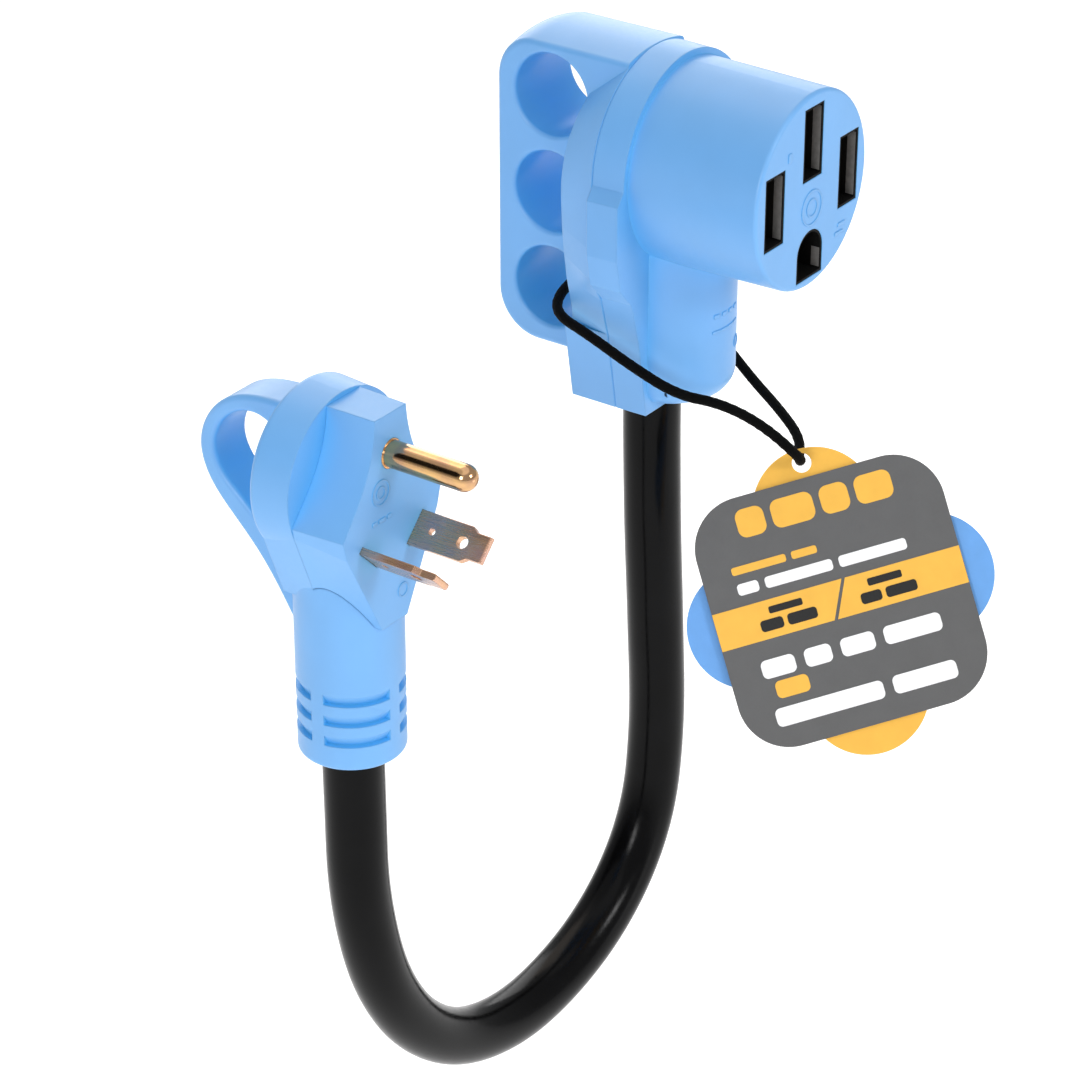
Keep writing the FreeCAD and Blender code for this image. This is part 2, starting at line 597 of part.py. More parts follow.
TIP_LENGTH = 5.0          # the blade's narrower end
TIP_STEP = 1.0
BLADE_HOLES = [(1.3, 6.0), (0.75, 13.7)]    # radius, distance from the tip
CRIMP_HALF = 2.2
CRIMP_Y = (-20.0, -15.8)


def blade(side):
    """A flat brass blade with two holes and a narrowed tip, and a crimp barrel at its back."""
    half = BLADE_W / 2
    tip_half = half - TIP_STEP
    shoulder_y = BLADE_TIP_Y + TIP_LENGTH
    root_y = CRIMP_Y[0] + 0.6
    slope_y = shoulder_y - 1.4
    outline = [(-half, root_y), (half, root_y), (half, shoulder_y), (tip_half, slope_y),
               (tip_half, BLADE_TIP_Y), (-tip_half, BLADE_TIP_Y), (-tip_half, slope_y),
               (-half, shoulder_y)]
    plate = extrude(polygon([V(x, y, -BLADE_T / 2) for x, y in outline]), V(0, 0, BLADE_T))
    plate = fillet_where(plate, 0.5, lambda e: abs(e.CenterOfMass.y - BLADE_TIP_Y) < 0.01
                         and abs(e.CenterOfMass.x) < 0.01)
    for radius, from_tip in BLADE_HOLES:
        y = BLADE_TIP_Y + from_tip
        plate = plate.cut(rod(radius, (0, y, -5), (0, y, 5)))
    plate.rotate(V(0, 0, 0), Y_AXIS, side * -45)
    plate.translate(V(PLUG_X + side * BLADE_X, 0, BLADE_Z))
    x = PLUG_X + side * BLADE_X
    crimp = box((x - CRIMP_HALF, x + CRIMP_HALF), CRIMP_Y, (BLADE_Z - 5.0, BLADE_Z + 2.0))
    return plate.fuse(crimp).removeSplitter()


def ground_pin():
    """A round pin with a domed end, on a thicker root that the shell grips."""
    pin = rod_y(GROUND_PIN_R, PLUG_X, GROUND_PIN_Z, (GROUND_PIN_TIP_Y + GROUND_PIN_R, PLUG_FACE_Y))
    root = rod_y(PIN_COLLAR_R, PLUG_X, GROUND_PIN_Z, (PLUG_FACE_Y - 0.05, -18.0))
    tip = Part.makeSphere(GROUND_PIN_R, V(PLUG_X, GROUND_PIN_TIP_Y + GROUND_PIN_R, GROUND_PIN_Z))
    lug = box((PLUG_X - CRIMP_HALF, PLUG_X + CRIMP_HALF), CRIMP_Y, (GROUND_PIN_Z - 6, GROUND_PIN_Z + 2))
    return fuse([pin, root, tip, lug])


def plug_wire(x, top):
    start_x = PLUG_X + 0.45 * x
    return bent_tube([(start_x, SEAM_Y, -84.0), (start_x, SEAM_Y, -74.5), (PLUG_X + x, -18.4, -64.4),
                      (PLUG_X + x, -18.4, top)], WIRE_R)


def plug_cord_clamp():
    whole = box((PLUG_X - 8.9, PLUG_X + 8.9), (-28.0, -13.6), PLUG_CLAMP_Z)
    whole = whole.common(plug_neck(PLUG_NECK_R - WALL - 0.1, (-100, -70)))
    whole = whole.cut(plug_neck(CORD_R + 0.03, (-100, -70)))
    front = whole.common(box((-200, 20), (-40, SEAM_Y - 0.3), (-120, -40)))
    rear = whole.common(box((-200, 20), (SEAM_Y + 0.3, 0), (-120, -40)))
    return Part.makeCompound([front, rear])


# ---- tag and lanyard -------------------------------------------------------------------
def tag_axes():
    """The tag's own across, up and facing directions."""
    facing = V(math.sin(TAG_AZIMUTH) * math.cos(TAG_TILT), -math.cos(TAG_AZIMUTH) * math.cos(TAG_TILT),
               math.sin(TAG_TILT))
    level = V(math.cos(TAG_AZIMUTH), math.sin(TAG_AZIMUTH), 0)
    rise = facing.cross(level)
    across = level * math.cos(TAG_ROLL) + rise * math.sin(TAG_ROLL)
    return across, facing.cross(across), facing


TAG_DROP = 32.2           # from the tag's hole down to its middle
CARD_HALF = 28.8
CARD_CORNER_R = 11.8
LOBE_R = 14.0
LOBE_REACH = 21.4
TAG_HOLE_R = 2.2


def place_on_tag(shape, layer):
    """Move a flat shape from the XY plane to one layer of the tag, counted back from its face."""
    across, rise, facing = tag_axes()
    middle = TAG_HOLE - rise * TAG_DROP - facing * (layer * (CARD_T + 0.02))
    matrix = FreeCAD.Matrix(across.x, rise.x, facing.x, middle.x,
                            across.y, rise.y, facing.y, middle.y,
                            across.z, rise.z, facing.z, middle.z, 0, 0, 0, 1)
    return shape.transformGeometry(matrix)


def punched(shape):
    return shape.cut(rod(TAG_HOLE_R, (0, TAG_DROP, -5), (0, TAG_DROP, 5)))


def tag_front_card():
    half = CARD_HALF
    card = box((-half, half), (-half, half), (-CARD_T, 0))
    card = fillet_where(card, CARD_CORNER_R, lambda e: abs(abs(e.CenterOfMass.x) - half) < 0.01
                        and abs(abs(e.CenterOfMass.y) - half) < 0.01)
    return place_on_tag(card, 0)


def tag_lobe_card(layer, turn):
    """A long rounded card behind the front one, whose ends show as two lobes."""
    lobes = [rod(LOBE_R, (side * LOBE_REACH, 0, -CARD_T), (side * LOBE_REACH, 0, 0)) for side in (1, -1)]
    card = fuse(lobes + [box((-LOBE_REACH, LOBE_REACH), (-LOBE_R, LOBE_R), (-CARD_T, 0))])
    card.rotate(V(0, 0, 0), Z_AXIS, turn)
    return place_on_tag(punched(card), layer)


def lanyard_ferrule():
    """The little sleeve that holds the lanyard's two ends side by side."""
    sleeve = box((14.0, 19.5), (-1.6, 2.0), (-49.1, -42.9))
    sleeve = fillet_where(sleeve, 1.2, lambda e: abs(e.CenterOfMass.x - 16.75) < 0.01)
    bores = [rod(LANYARD_R + 0.02, (10, 0.2, z), (25, 0.2, z)) for z in (-44.7, -47.3)]
    return sleeve.cut(bores)


def build():
    shapes = {
        "receptacle_front_shell": receptacle_front_shell(),
        "receptacle_rear_shell": receptacle_rear_shell(),
        "receptacle_shell_screws": shell_screws(),
        "contact_carrier": contact_carrier(),
        "line_contact_x": hot_contact(-1),
        "line_contact_y": hot_contact(1),
        "neutral_contact": spring_contact(0, NEUTRAL_Z, LEAF_H, NEUTRAL_TERMINAL),
        "ground_contact": spring_contact(0, GROUND_BOTTOM + 5.5, GROUND_LEAF_H, GROUND_TERMINAL),
        "hot_bridge": hot_bridge(),
        "terminal_screws": terminal_screws(),
        "cord_clamp": cord_clamp(),
        "cord_clamp_screws": cord_clamp_screws(),
        "receptacle_line_wire": receptacle_wire(LINE_WIRE_X, -15.5),
        "receptacle_neutral_wire": receptacle_wire(NEUTRAL_WIRE_X, -5.5),
        "receptacle_ground_wire": receptacle_wire(0.0, -30.0),
        "power_cord": bent_tube(CORD_ROUTE, CORD_R),
        "plug_front_shell": plug_front_shell(),
        "plug_rear_shell": plug_rear_shell(),
        "blade_carrier": blade_carrier(),
        "line_blade": blade(1),
        "neutral_blade": blade(-1),
        "ground_pin": ground_pin(),
        "plug_line_wire": plug_wire(BLADE_X, BLADE_Z - 5.0),
        "plug_neutral_wire": plug_wire(-BLADE_X, BLADE_Z - 5.0),
        "plug_ground_wire": plug_wire(0.0, GROUND_PIN_Z - 6),
        "plug_cord_clamp": plug_cord_clamp(),
        "tag_lanyard": bent_tube(LANYARD_ROUTE, LANYARD_R),
        "lanyard_ferrule": lanyard_ferrule(),
        "tag_front_card": tag_front_card(),
        "tag_gold_card": tag_lobe_card(1, 90),
        "tag_blue_card": tag_lobe_card(2, 0),
    }
    return shapes


os.makedirs("parts", exist_ok=True)
for name, shape in build().items():
    print(name, "valid" if shape.isValid() else "NOT VALID", len(shape.Solids), round(shape.Volume, 1))
    shape.exportStep("parts/%s.step" % name)
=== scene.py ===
"""The looks of the power adapter dogbone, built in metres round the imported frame."""
import json
import math

import bmesh
import bpy
from mathutils import Matrix, Vector


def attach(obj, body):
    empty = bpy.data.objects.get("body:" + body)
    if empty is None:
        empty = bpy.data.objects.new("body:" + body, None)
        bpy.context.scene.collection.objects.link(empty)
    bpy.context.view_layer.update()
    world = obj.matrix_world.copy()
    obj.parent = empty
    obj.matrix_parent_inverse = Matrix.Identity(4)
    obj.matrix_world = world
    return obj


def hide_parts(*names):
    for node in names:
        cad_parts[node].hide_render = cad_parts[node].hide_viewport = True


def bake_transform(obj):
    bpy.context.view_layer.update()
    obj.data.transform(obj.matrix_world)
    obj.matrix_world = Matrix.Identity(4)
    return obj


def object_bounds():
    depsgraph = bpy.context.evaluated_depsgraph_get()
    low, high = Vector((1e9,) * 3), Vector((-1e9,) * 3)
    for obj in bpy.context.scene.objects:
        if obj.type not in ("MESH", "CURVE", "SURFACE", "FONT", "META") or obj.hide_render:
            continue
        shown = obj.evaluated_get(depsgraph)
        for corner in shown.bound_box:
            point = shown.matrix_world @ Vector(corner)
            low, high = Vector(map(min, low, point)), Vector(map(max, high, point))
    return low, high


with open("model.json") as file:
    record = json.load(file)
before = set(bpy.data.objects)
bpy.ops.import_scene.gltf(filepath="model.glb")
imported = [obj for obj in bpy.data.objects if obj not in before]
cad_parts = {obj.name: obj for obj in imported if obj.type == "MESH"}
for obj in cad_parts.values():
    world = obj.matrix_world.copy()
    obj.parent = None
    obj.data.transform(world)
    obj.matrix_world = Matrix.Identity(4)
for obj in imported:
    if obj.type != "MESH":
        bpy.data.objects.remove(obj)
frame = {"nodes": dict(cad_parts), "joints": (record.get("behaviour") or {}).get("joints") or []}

CAD_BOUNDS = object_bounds()
MM = 0.001
NODES = frame["nodes"]
JOINTS = {joint["name"]: joint for joint in frame["joints"]}


# ---- camera, floor and light ---------------------------------------------------------------
CAMERA_AT = Vector((-0.626337, -0.434429, 0.298411))
CAMERA_AZIMUTH = math.radians(-54.606)
CAMERA_ELEVATION = math.radians(28.545)
LENS_MM = 121.82
FLOOR_DROP = 0.22         # the floor's depth below the cord's lowest point
FLOOR_HALF = 12.0
FLOOR_WHITE = (0.88, 0.88, 0.88)
FLOOR_GLOW = 0.42         # keeps the floor white where the lights fall off
SUN_FROM = Vector((-0.1, 0.05, 1.0))
SUN_WIDTH = math.radians(80)
WARM_WHITE = (1.0, 0.84, 0.70)
SKY_COLOUR = (0.97, 0.98, 1.0, 1)
SKY_STRENGTH = 0.50
DARK_SKY_STRENGTH = 0.01
DARK_SKY = Vector((-0.60, 0.43, 0.68))    # towards the middle of the sky's dark area
DARK_SKY_EDGES = (0.78, 0.90)             # cosines of the angles where it starts and is darkest


def camera_axes():
    """The camera's right, up and back directions."""
    level = math.cos(CAMERA_ELEVATION)
    back = Vector((math.sin(CAMERA_AZIMUTH) * level, -math.cos(CAMERA_AZIMUTH) * level,
                   math.sin(CAMERA_ELEVATION)))
    right = Vector((math.cos(CAMERA_AZIMUTH), math.sin(CAMERA_AZIMUTH), 0))
    return right, back.cross(right), back


def make_camera():
    """A long lens that looks down on the object from its front left."""
    data = bpy.data.cameras.new("camera")
    data.lens = LENS_MM
    data.clip_end = 50
    camera = bpy.data.objects.new("camera", data)
    bpy.context.scene.collection.objects.link(camera)
    turn = Matrix(camera_axes()).transposed().to_4x4()
    camera.matrix_world = Matrix.Translation(CAMERA_AT) @ turn
    bpy.context.scene.camera = camera


def softbox(name, direction, distance, size, watts, colour=(1, 1, 1)):
    """A square soft light that faces the object's middle."""
    low, high = (Vector(corner) for corner in CAD_BOUNDS)
    middle = (low + high) / 2
    data = bpy.data.lights.new(name, "AREA")
    data.size = size
    data.energy = watts
    data.color = colour
    light = bpy.data.objects.new(name, data)
    bpy.context.scene.collection.objects.link(light)
    out = Vector(direction).normalized()
    light.location = middle + out * distance
    light.rotation_euler = out.to_track_quat("Z", "Y").to_euler()


def overhead(strength):
    """A very broad distant light from above, which lights the whole floor evenly."""
    data = bpy.data.lights.new("overhead", "SUN")
    data.energy = strength
    data.angle = SUN_WIDTH
    light = bpy.data.objects.new("overhead", data)
    light.rotation_euler = SUN_FROM.to_track_quat("Z", "Y").to_euler()
    bpy.context.scene.collection.objects.link(light)


def make_world():
    """A pale surround with one dark area high up, which polished metal reflects as a dark streak."""
    world = bpy.data.worlds.new("studio")
    world.use_nodes = True
    tree = world.node_tree
    background = tree.nodes["Background"]
    background.inputs["Color"].default_value = SKY_COLOUR
    place = tree.nodes.new("ShaderNodeTexCoord")
    towards = tree.nodes.new("ShaderNodeVectorMath")
    towards.operation = "DOT_PRODUCT"
    towards.inputs[1].default_value = DARK_SKY.normalized()
    tree.links.new(place.outputs["Generated"], towards.inputs[0])
    strength = spread(tree, towards.outputs["Value"], SKY_STRENGTH, DARK_SKY_STRENGTH,
                      DARK_SKY_EDGES)
    tree.links.new(strength, background.inputs["Strength"])
    bpy.context.scene.world = world


def make_studio():
    """Soft lights all round, placed by directions from the object's middle."""
    right, up, back = camera_axes()
    left = back - right * 0.45 - up * 0.05
    near_right = back * 0.8 + right + up * 0.25
    overhead(strength=0.8)
    softbox("top_light", (0.5, 0.7, 1.0), distance=1.1, size=0.6, watts=1.9, colour=WARM_WHITE)
    softbox("left_light", left, distance=1.2, size=0.35, watts=4.8)
    softbox("front_light", (0.30, -0.82, -0.30), distance=1.1, size=0.4, watts=0.6)
    softbox("right_light", near_right, distance=1.3, size=0.3, watts=4.4)
    softbox("rear_light", (0.8, 0.7, 0.35), distance=1.2, size=0.7, watts=4.0)
    make_world()
    bpy.context.scene.view_settings.view_transform = "Standard"


def make_floor():
    """A large white plane well below the object."""
    mesh = bpy.data.meshes.new("floor")
    half = FLOOR_HALF
    z = CAD_BOUNDS[0][2] - FLOOR_DROP
    mesh.from_pydata([(-half, -half, z), (half, -half, z), (half, half, z), (-half, half, z)], [],
                     [(0, 1, 2, 3)])
    floor = bpy.data.objects.new("floor", mesh)
    bpy.context.scene.collection.objects.link(floor)
    material, tree, shader = new_material("floor", FLOOR_WHITE, 0.9)
    mottle(tree, shader, FLOOR_WHITE, 3.0, 0.01)
    shader.inputs["Emission Color"].default_value = (1, 1, 1, 1)
    shader.inputs["Emission Strength"].default_value = FLOOR_GLOW
    mesh.materials.append(material)


# ---- materials -----------------------------------------------------------------------------
def new_material(name, colour, roughness, metallic=0.0):
    """A Principled material: its tree and shader come back for more detail."""
    material = bpy.data.materials.new(name)
    material.use_nodes = True
    shader = material.node_tree.nodes["Principled BSDF"]
    shader.inputs["Base Color"].default_value = (*colour, 1)
    shader.inputs["Roughness"].default_value = roughness
    shader.inputs["Metallic"].default_value = metallic
    return material, material.node_tree, shader


def noise(tree, scale, detail=3.0, stretch=(1, 1, 1)):
    """A noise pattern fixed to the piece, with scale in features per metre."""
    place = tree.nodes.new("ShaderNodeTexCoord")
    mapping = tree.nodes.new("ShaderNodeMapping")
    mapping.inputs["Scale"].default_value = stretch
    pattern = tree.nodes.new("ShaderNodeTexNoise")
    pattern.inputs["Scale"].default_value = scale
    pattern.inputs["Detail"].default_value = detail
    tree.links.new(place.outputs["Object"], mapping.inputs["Vector"])
    tree.links.new(mapping.outputs["Vector"], pattern.inputs["Vector"])
    return pattern.outputs["Fac"]


def spread(tree, value, low, high, clip=(0.3, 0.7)):
    """The pattern's middle range mapped to low..high."""
    ramp = tree.nodes.new("ShaderNodeMapRange")
    ramp.inputs["From Min"].default_value = clip[0]
    ramp.inputs["From Max"].default_value = clip[1]
    ramp.inputs["To Min"].default_value = low
    ramp.inputs["To Max"].default_value = high
    tree.links.new(value, ramp.inputs["Value"])
    return ramp.outputs["Result"]


def mottle(tree, shader, colour, scale, amount):
    """Faint lighter and darker areas in the base colour."""
    mix = tree.nodes.new("ShaderNodeMix")
    mix.data_type = "RGBA"
    mix.inputs["A"].default_value = (*[c * (1 - amount) for c in colour], 1)
    mix.inputs["B"].default_value = (*[min(1.0, c * (1 + amount)) for c in colour], 1)
    tree.links.new(spread(tree, noise(tree, scale), 0, 1), mix.inputs["Factor"])
    tree.links.new(mix.outputs["Result"], shader.inputs["Base Color"])


def paint_recess_shade(tree, shader, colour, reach):
    """Painted shade and bounce light: a deeper, more saturated base colour where the surface is shut
    in.
    """
    painted_shade_ao = tree.nodes.new("ShaderNodeAmbientOcclusion")
    painted_shade_ao.inputs["Distance"].default_value = reach
    mix = tree.nodes.new("ShaderNodeMix")
    mix.data_type = "RGBA"
    mix.inputs["A"].default_value = (*colour, 1)
    open_colour = shader.inputs["Base Color"].links[0].from_socket
    tree.links.new(open_colour, mix.inputs["B"])
    tree.links.new(spread(tree, painted_shade_ao.outputs["AO"], 0.0, 1.0, (0.2, 0.8)), mix.inputs["Factor"])
    tree.links.new(mix.outputs["Result"], shader.inputs["Base Color"])


def bump(tree, shader, height, distance, strength=1.0, under=None):
    """Relief from a pattern, on top of the normal under it where one is given."""
    node = tree.nodes.new("ShaderNodeBump")
    node.inputs["Distance"].default_value = distance
    node.inputs["Strength"].default_value = strength
    tree.links.new(height, node.inputs["Height"])
    if under is not None:
        tree.links.new(under, node.inputs["Normal"])
    tree.links.new(node.outputs["Normal"], shader.inputs["Normal"])


def soft_edges(tree, radius):
    """The small radius that a mould leaves on every edge."""
    node = tree.nodes.new("ShaderNodeBevel")
    node.samples = 6
    node.inputs["Radius"].default_value = radius
    return node.outputs["Normal"]


SHELL_BLUE = (0.150, 0.398, 0.770)
# painted shade and bounce light: the more saturated blue painted into recesses
SHELL_PAINTED_SHADE_BLUE = (0.07, 0.47, 0.88)
PAINTED_SHADE_REACH = 24 * MM     # how near other surfaces have to be for the painted shade to deepen the blue


def shell_plastic():
    """Satin moulded plastic: fine spark-eroded grain, a little flow mottling."""
    material, tree, shader = new_material("sky_blue_plastic", SHELL_BLUE, 0.40)
    shader.inputs["Specular IOR Level"].default_value = 0.5
    shader.inputs["Coat Weight"].default_value = 0.18
    shader.inputs["Coat Roughness"].default_value = 0.32
    mottle(tree, shader, SHELL_BLUE, 60, 0.03)
    # painted shade and bounce light in the recesses
    paint_recess_shade(tree, shader, SHELL_PAINTED_SHADE_BLUE, PAINTED_SHADE_REACH)
    tree.links.new(spread(tree, noise(tree, 900), 0.37, 0.45), shader.inputs["Roughness"])
    bump(tree, shader, noise(tree, 4200, 2.0), 0.00002, 0.25, soft_edges(tree, 0.4 * MM))
    return material


def dark_plastic():
    """Dull black moulded insulator."""
    colour = (0.005, 0.005, 0.005)
    material, tree, shader = new_material("black_insulator", colour, 0.6)
    shader.inputs["Specular IOR Level"].default_value = 0.1
    mottle(tree, shader, colour, 200, 0.25)
    bump(tree, shader, noise(tree, 2500), 0.00003, 0.4)
    return material


def brass(name, roughness, clean=(0.80, 0.50, 0.20), tarnished=(0.52, 0.29, 0.19)):
    """Rolled and tumbled brass: long faint draw lines, and a pinkish tarnish in patches."""
    material, tree, shader = new_material(name, clean, roughness, 1.0)
    mix = tree.nodes.new("ShaderNodeMix")
    mix.data_type = "RGBA"
    mix.inputs["A"].default_value = (*clean, 1)
    mix.inputs["B"].default_value = (*tarnished, 1)
    tree.links.new(spread(tree, noise(tree, 260), 0.1, 0.9), mix.inputs["Factor"])
    tree.links.new(mix.outputs["Result"], shader.inputs["Base Color"])
    lines = noise(tree, 3000, 2.0, (1, 0.04, 1))
    tree.links.new(spread(tree, lines, roughness * 0.8, roughness * 1.35), shader.inputs["Roughness"])
    bump(tree, shader, lines, 0.00002, 0.12, soft_edges(tree, 0.25 * MM))
    return material


def plated_steel():
    """Zinc-plated steel with uneven gloss."""
    colour = (0.56, 0.56, 0.55)
    material, tree, shader = new_material("zinc_steel", colour, 0.28, 1.0)
    mottle(tree, shader, colour, 500, 0.12)
    tree.links.new(spread(tree, noise(tree, 1500), 0.22, 0.4), shader.inputs["Roughness"])
    return material


def wire_plastic(name, colour):
    """The insulation of one conductor."""
    material, tree, shader = new_material(name, colour, 0.35)
    mottle(tree, shader, colour, 400, 0.08)
    bump(tree, shader, noise(tree, 2500), 0.00002, 0.3)
    return material


def jacket_rubber():
    """Glossy black jacket: extrusion lines along the cord and a dusting of dull spots."""
    colour = (0.002, 0.002, 0.0022)
    material, tree, shader = new_material("cord_jacket", colour, 0.2)
    shader.inputs["Specular IOR Level"].default_value = 0.10
    mottle(tree, shader, colour, 90, 0.3)
    tree.links.new(spread(tree, noise(tree, 700, 4.0), 0.16, 0.25), shader.inputs["Roughness"])
    bump(tree, shader, noise(tree, 1500, 2.0), 0.00003, 0.3)
    return material


def braid_fabric():
    """Black braided fabric with a faint sheen."""
    colour = (0.0015, 0.0015, 0.0015)
    material, tree, shader = new_material("lanyard_cord", colour, 0.8)
    shader.inputs["Specular IOR Level"].default_value = 0.06
    shader.inputs["Sheen Weight"].default_value = 0.03
    mottle(tree, shader, colour, 1200, 0.4)
    bump(tree, shader, noise(tree, 9000, 2.0), 0.00004, 0.6)
    return material


def coated_card(name, colour):
    """Matt-laminated card with the paper's fibre showing faintly through."""
    material, tree, shader = new_material(name, colour, 0.55)
    mottle(tree, shader, colour, 220, 0.035)
    tree.links.new(spread(tree, noise(tree, 1800), 0.5, 0.62), shader.inputs["Roughness"])
    bump(tree, shader, noise(tree, 2600, 4.0), 0.00003, 0.25)
    return material


YELLOW = (0.88, 0.475, 0.060)
GREY = (0.104, 0.104, 0.104)
BLUE_CARD = (0.135, 0.360, 0.760)


def dress_nodes():
    """Give every CAD node that stays its material, and return the shells' plastic."""
    shell = shell_plastic()
    polished = brass("polished_brass", 0.13)
    stamped = brass("stamped_brass", 0.26, (0.74, 0.45, 0.25), (0.66, 0.40, 0.33))
    rolled = brass("rolled_brass", 0.3)
    dark = dark_plastic()
    steel = plated_steel()
    black_wire = wire_plastic("black_wire", (0.012, 0.012, 0.012))
    white_wire = wire_plastic("white_wire", (0.70, 0.70, 0.66))
    green_wire = wire_plastic("green_wire", (0.015, 0.20, 0.04))
    finishes = {
        "receptacle_front_shell": shell, "receptacle_rear_shell": shell,
        "plug_front_shell": shell, "plug_rear_shell": shell,
        "contact_carrier": dark, "blade_carrier": dark, "cord_clamp": dark, "plug_cord_clamp": dark,
        "line_contact_x": rolled, "line_contact_y": rolled, "neutral_contact": rolled,
        "ground_contact": rolled, "hot_bridge": rolled,
        "line_blade": stamped, "neutral_blade": stamped, "ground_pin": polished,
        "receptacle_shell_screws": steel, "terminal_screws": steel, "cord_clamp_screws": steel,
        "lanyard_ferrule": steel,
        "receptacle_line_wire": black_wire, "plug_line_wire": black_wire,
        "receptacle_neutral_wire": white_wire, "plug_neutral_wire": white_wire,
        "receptacle_ground_wire": green_wire, "plug_ground_wire": green_wire,
        "tag_front_card": coated_card("grey_card", GREY),
        "tag_gold_card": coated_card("gold_card", YELLOW),
        "tag_blue_card": coated_card("blue_card", BLUE_CARD),
    }
    for node, material in finishes.items():
        for slot in NODES[node].material_slots:
            slot.material = material
    return shell


# ---- cords ---------------------------------------------------------------------------------
SEAM_Y = -20.8            # the plane between front and rear shells, where the cord's axis is
PLUG_X = -112.5           # the plug's middle
CORD_R = 6.7 * MM
CORD_TWIST = 95 * MM      # the length of one turn of the conductors
CORD_ROUTE = [
    (0.0, SEAM_Y, -52.0),
    (0.0, SEAM_Y, -86.0),
    (2.4, SEAM_Y, -124.0),
    (5.0, SEAM_Y, -160.0),
    (1.4, SEAM_Y, -187.0),
    (-16.5, SEAM_Y, -206.6),
    (-48.0, SEAM_Y, -215.2),
    (-78.0, SEAM_Y, -207.8),
    (-100.6, SEAM_Y, -185.0),
    (-111.8, SEAM_Y, -153.0),
    (PLUG_X, SEAM_Y, -118.0),
    (PLUG_X, SEAM_Y, -84.0),
]
LANYARD_R = 1.2 * MM
BRAID_STRANDS = 6
BRAID_PITCH = 7.0 * MM
LANYARD_ROUTE = [
    (19.5, 0.2, -44.7),
    (10.5, 0.2, -44.7),
    (-1.5, -3.6, -44.4),
    (-15.0, -5.4, -44.5),
    (-21.6, -9.0, -46.4),
    (-23.4, -19.0, -48.0),
    (-22.8, -30.0, -52.8),
    (-20.0, -40.6, -58.2),
    (-13.4, -48.0, -60.8),
    (-7.2, -55.2, -66.6),
    (-3.4, -63.4, -74.4),
    (4.6, -57.7, -79.9),
    (10.6, -54.4, -77.4),
    (15.4, -45.4, -74.4),
    (19.2, -35.4, -71.0),
    (22.0, -23.0, -63.0),
    (24.0, -11.0, -53.6),
    (24.5, -3.0, -48.8),
    (21.5, 0.2, -47.3),
    (14.0, 0.2, -47.3),
]


def smooth_line(route, resolution):
    """Points along the NURBS spline that has the route, in millimetres, as its control points."""
    curve = bpy.data.curves.new("route", "CURVE")
    curve.dimensions = "3D"
    spline = curve.splines.new("NURBS")
    spline.points.add(len(route) - 1)
    for point, place in zip(spline.points, route):
        point.co = (*[v * MM for v in place], 1)
    spline.order_u = 3
    spline.use_endpoint_u = True
    spline.resolution_u = resolution
    holder = bpy.data.objects.new("route", curve)
    mesh = bpy.data.meshes.new_from_object(holder)
    line = [vertex.co.copy() for vertex in mesh.vertices]
    bpy.data.objects.remove(holder)
    bpy.data.curves.remove(curve)
    bpy.data.meshes.remove(mesh)
    return line


def tube(name, line, sides, radius_at):
    """A closed tube round a line. radius_at(distance, angle) gives its surface."""
    verts = []
    side = None
    gone = 0.0
    for i, point in enumerate(line):
        ahead = line[min(i + 1, len(line) - 1)] - line[max(i - 1, 0)]
        ahead.normalize()
        if side is None:
            side = ahead.orthogonal()
        side = (side - ahead * side.dot(ahead)).normalized()
        other = ahead.cross(side)
        if i:
            gone += (point - line[i - 1]).length
        for k in range(sides):
            angle = 2 * math.pi * k / sides
            out = side * math.cos(angle) + other * math.sin(angle)
            verts.append(point + out * radius_at(gone, angle))
    faces = []
    for i in range(len(line) - 1):
        for k in range(sides):
            a = i * sides + k
            b = i * sides + (k + 1) % sides
            faces.append((a, b, b + sides, a + sides))
    faces.append(tuple(reversed(range(sides))))
    faces.append(tuple(range(len(verts) - sides, len(verts))))
    mesh = bpy.data.meshes.new(name)
    mesh.from_pydata(verts, [], faces)
    mesh.polygons.foreach_set("use_smooth", [True] * len(mesh.polygons))
    piece = bpy.data.objects.new(name, mesh)
    bpy.context.scene.collection.objects.link(piece)
    return piece


def make_power_cord():
    """The jacket, very slightly swollen over its three twisted conductors."""
    line = smooth_line(CORD_ROUTE, 48)
    twist = 2 * math.pi / CORD_TWIST

    def radius_at(distance, angle):
        return CORD_R * (0.997 + 0.003 * math.cos(3 * (angle - distance * twist)))

    cord = tube("power_cord_jacket", line, 64, radius_at)
    cord.data.materials.append(jacket_rubber())
    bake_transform(cord)
    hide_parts("power_cord")


def make_lanyard():
    """A braided elastic: the strands cross in two directions round the core."""
    line = smooth_line(LANYARD_ROUTE, 60)

    def radius_at(distance, angle):
        turned = math.pi * distance / BRAID_PITCH
        one = math.cos(BRAID_STRANDS * (angle + turned))
        two = math.cos(BRAID_STRANDS * (angle - turned))
        return LANYARD_R * (0.96 + 0.02 * (one + two))

    lanyard = tube("lanyard_braid", line, 36, radius_at)
    lanyard.data.materials.append(braid_fabric())
    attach(lanyard, "lanyard")
    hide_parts("tag_lanyard")


# ---- the tag's print -----------------------------------------------------------------------
TAG_ROLL = math.radians(15.9)
TAG_DROP = 32.2           # from the tag's hole down to its middle, in millimetres
INK_T = 0.06              # the ink's thickness


def tag_frame():
    """From millimetres on the front card's face, counted from its middle, to the row frame."""
    hole = Vector(JOINTS["tag_swing"]["pos_m"])
    facing = Vector(JOINTS["tag_swing"]["axis"]).normalized()
    level = Vector((0, 0, 1)).cross(facing).normalized()
    rise = facing.cross(level)
    across = level * math.cos(TAG_ROLL) + rise * math.sin(TAG_ROLL)
    up = facing.cross(across)
    turn = Matrix((across, up, facing)).transposed().to_4x4()
    return Matrix.Translation(hole - up * TAG_DROP * MM) @ turn @ Matrix.Scale(MM, 4)


